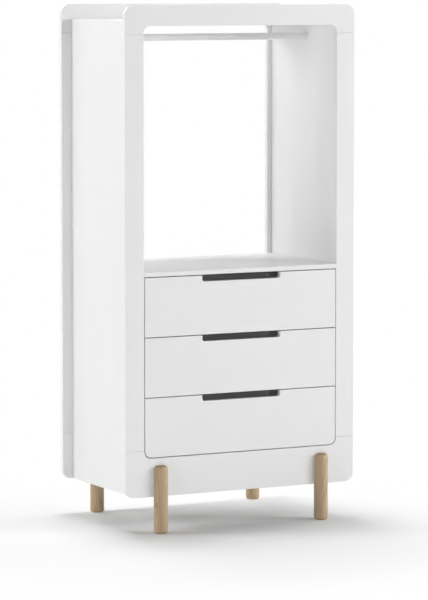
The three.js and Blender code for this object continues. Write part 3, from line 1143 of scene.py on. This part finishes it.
@dataclass
class Runner:
    """A ball-bearing runner: a cabinet member, a ball cage and a drawer member, nested."""

    drawer: str
    side: Side
    level: float  # its centre line above the floor
    start: float = 21.0  # its front end
    length: float = 450.0
    height: float = 35.0
    sheet: float = 1.2
    lip: float = 1.6
    bend: float = 1.1
    hole_diameter: float = 4.6
    hole_facets: int = 24
    holes: int = 3
    drill_reach: float = 2.0  # each way from the middle of the web
    ball_diameter: float = 4.8
    balls_per_row: int = 5
    cage_length: float = 210.0
    cage_sheet: float = 0.8
    cage_reach: float = 1.2
    cage_start: float = 196.0
    run_gap: float = 0.5
    ball_play: float = 0.2
    lip_play: float = 0.8
    head_diameter: float = 7.6
    head_height: float = 2.2
    head_sink: float = 0.1  # of the heads in the cabinet member's web, under its face
    head_facets: int = 36
    rounded_share: float = 0.6  # of a head's height
    cross_length: float = 4.2
    cross_width: float = 0.9
    cross_depth: float = 1.3
    cross_share: float = 0.7  # of a head's height, at most
    cross_reach: float = 1.0  # of its tool, past the head's top

    def across(self, distance: float) -> float:
        """Returns the x of a place that far inwards from the face that the runner is screwed to."""
        return self.side.value * (LAYOUT.opening_half - distance)

    def channel(
        self, web_at: float, tip_at: float, half_height: float, sheet: float, lip: float
    ) -> list[Corner]:
        """Outlines the centre line of a C-shaped section.

        Args:
            web_at: outer face of the web, inwards from the runner's seat.
            tip_at: outer face of the flanges' tips.
            half_height: half the section's height.
            sheet: the sheet's thickness.
            lip: how far the edges curl in (above zero), out (below zero) or not at all.

        Returns:
            The centre line's corners in x and z.
        """
        inward = math.copysign(sheet / 2, tip_at - web_at)
        web, tip = self.across(web_at + inward), self.across(tip_at - inward)
        flange = half_height - sheet / 2
        upper = [(web, flange, self.bend), (tip, flange, self.bend if lip else 0)]
        if lip:
            upper.append((tip, flange - lip, 0))
        lower = [(x, -z, radius) for x, z, radius in reversed(upper)]
        return [(x, self.level + z, radius) for x, z, radius in lower + upper]

    def drilled(self, member: Piece, web_at: float) -> Piece:
        """Drills the screw holes through a member's web.

        Args:
            member: the member.
            web_at: middle of its web, inwards from the runner's seat.

        Returns:
            The member, shaded.
        """
        drills = []
        radius, reach = self.hole_diameter / 2, self.drill_reach
        section = [(0, -reach, 0), (radius, -reach, 0), (radius, reach, 0), (0, reach, 0)]
        for along in self.hole_places():
            tool = turn_piece(f"{member.name}_drill", section, Axis.X, self.hole_facets)
            drills.append(shift_piece(tool, self.across(web_at), along, self.level))
        return shade(carve(member, *drills))

    def hole_places(self) -> list[float]:
        """Returns the screws' distances behind the front face."""
        pitch = self.length / self.holes
        return [self.start + (i + 0.5) * pitch for i in range(self.holes)]

    def screws(self, name: str, head_at: float, seat_at: float) -> Piece:
        """Makes the screws of one member, whose heads have a cross recess.

        Args:
            name: the piece's name.
            head_at: top of the heads, inwards from the runner's seat.
            seat_at: underside of the heads.

        Returns:
            The screws as one piece.
        """
        made = []
        height, radius = abs(seat_at - head_at), self.head_diameter / 2
        section = [(0, 0, 0), (radius, 0, 0), (radius, height, height * self.rounded_share), (0, height, 0)]
        deep = min(self.cross_depth, height * self.cross_share)
        long, slim = self.cross_length / 2, self.cross_width / 2
        facing = self.side.value if seat_at > head_at else -self.side.value
        for along in self.hole_places():
            screw = turn_piece(f"{name}_{len(made)}", section, Axis.X, self.head_facets)
            for u, v in ((slim, long), (long, slim)):
                bar, bottom, tall = rectangle(-u, -v, u, v), height - deep, deep + self.cross_reach
                carve(screw, cut_board(f"{name}_bar", bar, Axis.X, bottom, tall, edge=0.02))
            if facing < 0:
                screw.data.transform(Matrix.Scale(-1, 4, Vector((1, 0, 0))))
                screw.data.flip_normals()
            made.append(shift_piece(screw, self.across(seat_at), along, self.level))
        return shade(join_pieces(*made))

    def build(self) -> None:
        """Makes the two members with their screws, and the ball cage."""
        prefix = f"{self.drawer}_drawer_{self.side.label}"
        # Distances inwards from the seat, from the cabinet member's web to the drawer member's.
        seat = LAYOUT.seat_gap
        cage_at = seat + self.sheet + self.run_gap
        lip_at = cage_at + self.cage_sheet + self.run_gap
        ball_at = lip_at + self.sheet + self.lip_play + self.ball_diameter / 2
        lip_end = ball_at + self.ball_diameter / 2 + self.lip_play + self.sheet
        web_end = lip_end + self.run_gap - seat
        # Heights above the runner's centre line.
        ball_row = self.height / 2 - self.sheet - self.ball_play - self.ball_diameter / 2
        raceway = ball_row - self.ball_diameter / 2 - self.ball_play

        node = f"{prefix}_cabinet_member"
        line = self.channel(seat, lip_end, self.height / 2, self.sheet, self.lip)
        member = fold_sheet(f"{node}_sheet", line, self.sheet, self.start, self.length)
        settle(self.drilled(member, seat + self.sheet / 2), ZINC, "cabinet", node)
        screws = self.screws(f"{node}_screws", seat + self.sheet - self.head_sink, seat)
        settle(screws, ZINC, "cabinet")

        node = f"{prefix}_drawer_member"
        line = self.channel(web_end, lip_at, raceway, self.sheet, -self.lip)
        member = fold_sheet(f"{node}_sheet", line, self.sheet, self.start, self.length)
        settle(self.drilled(member, web_end - self.sheet / 2), ZINC, f"{self.drawer}_drawer", node)
        head_seat = web_end - self.sheet
        screws = self.screws(f"{node}_screws", head_seat - self.head_height, head_seat)
        settle(screws, ZINC, f"{self.drawer}_drawer")

        node = f"{prefix}_ball_cage"
        flange = ball_row + self.cage_sheet / 2
        line = self.channel(cage_at, ball_at + self.cage_reach, flange, self.cage_sheet, 0)
        strip = fold_sheet(f"{node}_strip", line, self.cage_sheet, self.cage_start, self.cage_length)
        strip.data.materials.append(ZINC.material())
        places = []
        for row in (-ball_row, ball_row):
            for i in range(self.balls_per_row):
                along = self.cage_start + (i + 0.5) * self.cage_length / self.balls_per_row
                places.append(Vector((self.across(ball_at), along, self.level + row)))
        cage = join_pieces(shade(strip), self.balls(f"{node}_balls", places))
        settle(cage, ZINC, f"{self.drawer}_ball_cages", node)

    def balls(self, name: str, places: list[Vector]) -> Piece:
        """Makes the balls of a cage.

        Args:
            name: the piece's name.
            places: the balls' centres.

        Returns:
            The balls as one piece, dressed.
        """
        cluster = bmesh.new()
        shift = Vector((0, LAYOUT.front_face, 0))
        for place in places:
            bmesh.ops.create_icosphere(
                cluster,
                subdivisions=3,
                radius=self.ball_diameter / 2 * MM,
                matrix=Matrix.Translation((place + shift) * MM),
            )
        mesh = bpy.data.meshes.new(name)
        cluster.to_mesh(mesh)
        cluster.free()
        mesh.shade_smooth()
        mesh.materials.append(BALL_STEEL.material())
        piece = bpy.data.objects.new(name, mesh)
        bpy.context.scene.collection.objects.link(piece)
        return piece


@dataclass
class Drawer:
    """A drawer: its front with the grip slot, its box and the runners at its two sides."""

    name: str
    row: int  # zero for the lowest
    rows: int = 3
    front_half: float = LAYOUT.opening_half - LAYOUT.front_gap
    grip_width: float = 310.0
    grip_depth: float = 21.0
    grip_radius: float = 9.0
    box_front: float = LAYOUT.frame_board + LAYOUT.seat_gap
    box_depth: float = 450.0
    box_half: float = 369.4
    box_board: float = 12.0
    box_edge: float = 0.5  # radius of its rounded edges
    bottom_board: float = 5.0
    bottom_edge: float = 0.3
    box_height: float = 140.0
    box_lift: float = 22.0
    groove_depth: float = 6.0
    groove_lift: float = 10.0
    runner_lift: float = 58.0

    @property
    def front_height(self) -> float:
        """The height of a front. The fronts share the opening under the deck, with equal gaps."""
        opening = LAYOUT.deck_underside - LAYOUT.opening_bottom
        return (opening - (self.rows + 1) * LAYOUT.front_gap) / self.rows

    @property
    def base(self) -> float:
        """The level of the front's lower edge."""
        pitch = self.front_height + LAYOUT.front_gap
        return LAYOUT.opening_bottom + LAYOUT.front_gap + self.row * pitch

    def build(self) -> None:
        """Makes the front, the box and the runners."""
        body = f"{self.name}_drawer"
        node = f"{body}_front"
        front = cut_board(f"{node}_board", self.front_corners(), Axis.Y, 0, LAYOUT.frame_board)
        settle(front, LACQUER, body, node)
        self.build_box(body)
        for side in Side:
            Runner(self.name, side, self.base + self.box_lift + self.runner_lift).build()

    def front_corners(self) -> list[Corner]:
        """Outlines the front, with the slot in its top edge. The lowest one has round corners.

        Returns:
            The outline's corners.
        """
        half, grip = self.front_half, self.grip_width / 2
        top = self.base + self.front_height
        slot = top - self.grip_depth
        radius = LAYOUT.opening_radius - LAYOUT.front_gap if self.row == 0 else 0
        return [
            (-half, self.base, radius),
            (half, self.base, radius),
            (half, top, 0),
            (grip, top, 0),
            (grip, slot, self.grip_radius),
            (-grip, slot, self.grip_radius),
            (-grip, top, 0),
            (-half, top, 0),
        ]

    def build_box(self, body: str) -> None:
        """Makes the grooved sides, the back and the bottom.

        Args:
            body: the body that the drawer moves with.
        """
        gap = LAYOUT.seat_gap
        low, high = self.base + self.box_lift, self.base + self.box_lift + self.box_height
        groove = low + self.groove_lift
        groove_top = groove + self.bottom_board + 2 * gap
        inner = self.box_half - self.box_board
        wall = inner + self.groove_depth
        for side in Side:
            node = f"{body}_{side.label}_side"
            section = [
                (inner, low),
                (self.box_half, low),
                (self.box_half, high),
                (inner, high),
                (inner, groove_top),
                (wall, groove_top),
                (wall, groove),
                (inner, groove),
            ]
            corners = [(side.value * x, z, 0) for x, z in section]
            front, depth = self.box_front, self.box_depth
            board = cut_board(f"{node}_board", corners, Axis.Y, front, depth, self.box_edge)
            settle(board, MELAMINE, body, node)

        node, rear, thick = f"{body}_back", self.box_front + self.box_depth, self.box_board
        corners = rectangle(-inner + gap, groove_top, inner - gap, high)
        back = cut_board(f"{node}_board", corners, Axis.Y, rear - thick, thick, self.box_edge)
        settle(back, MELAMINE, body, node)
        node, thick = f"{body}_bottom", self.bottom_board
        corners = rectangle(-wall + gap, self.box_front, wall - gap, rear)
        bottom = cut_board(f"{node}_board", corners, Axis.Z, groove + gap, thick, self.bottom_edge)
        settle(bottom, MELAMINE, body, node)


@dataclass(frozen=True)
class Lamp:
    """A square softbox that stands round the wardrobe and faces its middle."""

    name: str
    bearing: float  # degrees round the wardrobe, from the front by the right
    elevation: float  # degrees
    watts: float
    width: float = 3.0  # metres
    distance: float = 7.0
    middle: tuple[float, float, float] = (0.0, 0.0, 0.9)

    def hang(self) -> None:
        """Hangs the softbox."""
        light = bpy.data.lights.new(self.name, "AREA")
        light.shape = "SQUARE"
        light.size = self.width
        light.energy = self.watts
        lamp = bpy.data.objects.new(self.name, light)
        bearing, elevation = math.radians(self.bearing), math.radians(self.elevation)
        level = Vector((math.sin(bearing), -math.cos(bearing), 0)) * math.cos(elevation)
        outwards = level + Vector((0, 0, math.sin(elevation)))
        lamp.location = Vector(self.middle) + outwards * self.distance
        lamp.rotation_euler = (-outwards).to_track_quat("-Z", "Y").to_euler()
        bpy.context.scene.collection.objects.link(lamp)


@dataclass
class Studio:
    """The white studio: floor, surroundings, softboxes and the photograph's camera."""

    floor_radius: float = 12.0  # metres
    floor_facets: int = 128
    floor_colour: str = "#F4F4F4"
    fade_middle: tuple[float, float] = (-0.25, -0.3)  # metres; the shadow lies around it, and a painted glow whitens the floor away from it
    fade_from: float = 0.3  # metres from there; further out a painted glow, seen by the camera and in reflections, fades the floor and its shadow to white
    fade_to: float = 1.3
    camera_place: tuple[float, float, float] = (-5.405, -10.446, 1.960)
    camera_heading: float = 27.46  # degrees to the right of straight in
    camera_pitch: float = 4.68  # degrees down
    camera_lens: float = 197.61  # mm, as the sensor's width
    camera_sensor: float = 36.0
    camera_shift: float = -0.10  # upwards, in widths of the sensor
    lamps: list[Lamp] = field(
        default_factory=lambda: [
            Lamp("softbox_right", 60, 9, 486, 3.0, 11.0),
            Lamp("softbox_front_right", 45, 18, 487, 4.0, 13.0),
            Lamp("softbox_high_right", 100, 50, 87, 2.0, 9.0),
            Lamp("softbox_overhead", 180, 80, 346, 4.0, 13.0),
            Lamp("softbox_overhead_small", 180, 84, 211, 1.5, 9.0),
            Lamp("softbox_behind", 180, 25, 420, 4.0, 13.0),
            Lamp("softbox_behind_left", 210, 25, 78),
            Lamp("softbox_left_rear", 250, 20, 159, 1.6),
            Lamp("softbox_left_front", 290, 5, 132, 1.4, 9.0),
            Lamp("lamp_beside_camera", 332.64, 5.15, 116, 0.4, 12.2),
        ]
    )

    def build(self) -> None:
        """Sets the studio up."""
        scene = bpy.context.scene
        scene.view_settings.view_transform = "Standard"
        self.lay_floor()
        self.surround(scene)
        for lamp in self.lamps:
            lamp.hang()
        self.place_camera(scene)
        log.info("studio: %d softboxes, lens %.1f mm", len(self.lamps), self.camera_lens)

    def seen(self, tree: Tree) -> Socket:
        """Lays a switch between what is seen and what lights the wardrobe.

        Args:
            tree: the tree that the switch goes into.

        Returns:
            One where the camera, a reflection or a pane looks, and zero for other light.
        """
        path = add_node(tree, "ShaderNodeLightPath")
        seen = path.outputs["Is Camera Ray"]
        for ray in ("Is Glossy Ray", "Is Transmission Ray"):
            either = {0: seen, 1: path.outputs[ray]}
            seen = add_node(tree, "ShaderNodeMath", {"operation": "MAXIMUM"}, either).outputs["Value"]
        return seen

    def lay_floor(self) -> None:
        """Lays the floor, which takes the wardrobe's shadow under a painted glow that whitens the floor and
        its shadow further out.
        """
        turns = [2 * math.pi * i / self.floor_facets for i in range(self.floor_facets)]
        reach, shift = self.floor_radius / MM, -LAYOUT.front_face
        rim = [Vector((reach * math.cos(t), reach * math.sin(t) + shift, 0)) for t in turns]
        floor = make_mesh("studio_floor", rim, [list(range(len(rim)))])
        material = bpy.data.materials.new("studio_paint_and_painted_glow")
        material.use_nodes = True
        tree = material.node_tree
        tree.nodes.clear()
        place = add_node(tree, "ShaderNodeTexCoord").outputs["Object"]
        from_middle = {"operation": "DISTANCE", 1: (*self.fade_middle, 0.0)}
        distance = add_node(tree, "ShaderNodeVectorMath", from_middle, {0: place}).outputs["Value"]
        band = {"interpolation_type": "SMOOTHSTEP", "From Min": self.fade_from, "From Max": self.fade_to}
        fade = add_node(tree, "ShaderNodeMapRange", band, {"Value": distance}).outputs["Result"]
        # A painted glow, seen only by the camera and in reflections, takes over from the paint away from
        # the middle and washes out the shadow there.
        shares = {0: self.seen(tree), 1: fade}
        painted_glow_share = add_node(tree, "ShaderNodeMath", {"operation": "MULTIPLY"}, shares)
        paint = add_node(tree, "ShaderNodeBsdfDiffuse", {"Color": to_linear(self.floor_colour)})
        glow = add_node(tree, "ShaderNodeEmission", {"Strength": 1.0})
        both = add_node(
            tree,
            "ShaderNodeMixShader",
            links={0: painted_glow_share.outputs["Value"], 1: paint.outputs["BSDF"], 2: glow.outputs["Emission"]},
        )
        add_node(tree, "ShaderNodeOutputMaterial", links={"Surface": both.outputs["Shader"]})
        floor.data.materials.append(material)

    def surround(self, scene: bpy.types.Scene) -> None:
        """Surrounds the wardrobe with a white that is only seen and lights nothing.

        Args:
            scene: the scene.
        """
        scene.world = scene.world or bpy.data.worlds.new("studio_surroundings")
        scene.world.use_nodes = True
        tree = scene.world.node_tree
        tree.nodes.clear()
        white = {"Color": to_linear("#FFFFFF")}
        glow = add_node(tree, "ShaderNodeBackground", white, {"Strength": self.seen(tree)})
        add_node(tree, "ShaderNodeOutputWorld", links={"Surface": glow.outputs["Background"]})

    def place_camera(self, scene: bpy.types.Scene) -> None:
        """Places the photograph's camera.

        Args:
            scene: the scene.
        """
        view = bpy.data.cameras.new("photograph_view")
        view.sensor_width = self.camera_sensor
        view.lens = self.camera_lens
        view.shift_y = self.camera_shift
        view.clip_end = 500.0
        camera = bpy.data.objects.new("photograph_view", view)
        camera.location = self.camera_place
        tilt, heading = math.radians(90 - self.camera_pitch), math.radians(-self.camera_heading)
        camera.rotation_euler = (tilt, 0, heading)
        scene.collection.objects.link(camera)
        scene.camera = camera


def main() -> None:
    """Builds the wardrobe and its studio."""
    Studio().build()
    PictureFrame("front", 0.0).build()
    PictureFrame("back", LAYOUT.carcass_back).build()
    Carcass().build()
    HangingRail().build()
    legs = (
        ("front", Side.LEFT, 0.0, (62, 31, 400)),
        ("front", Side.RIGHT, 0.0, (-48, 66, 1300)),
        ("rear", Side.LEFT, LAYOUT.carcass_back, (35, -74, 2100)),
        ("rear", Side.RIGHT, LAYOUT.carcass_back, (-70, -22, 3050)),
    )
    for place, side, face, pith in legs:
        Leg(f"{place}_{side.label}_leg", side, face, Vector(pith)).build()
    for name, row in (("upper", 2), ("middle", 1), ("lower", 0)):
        Drawer(name, row).build()


if __name__ == "__main__":
    main()
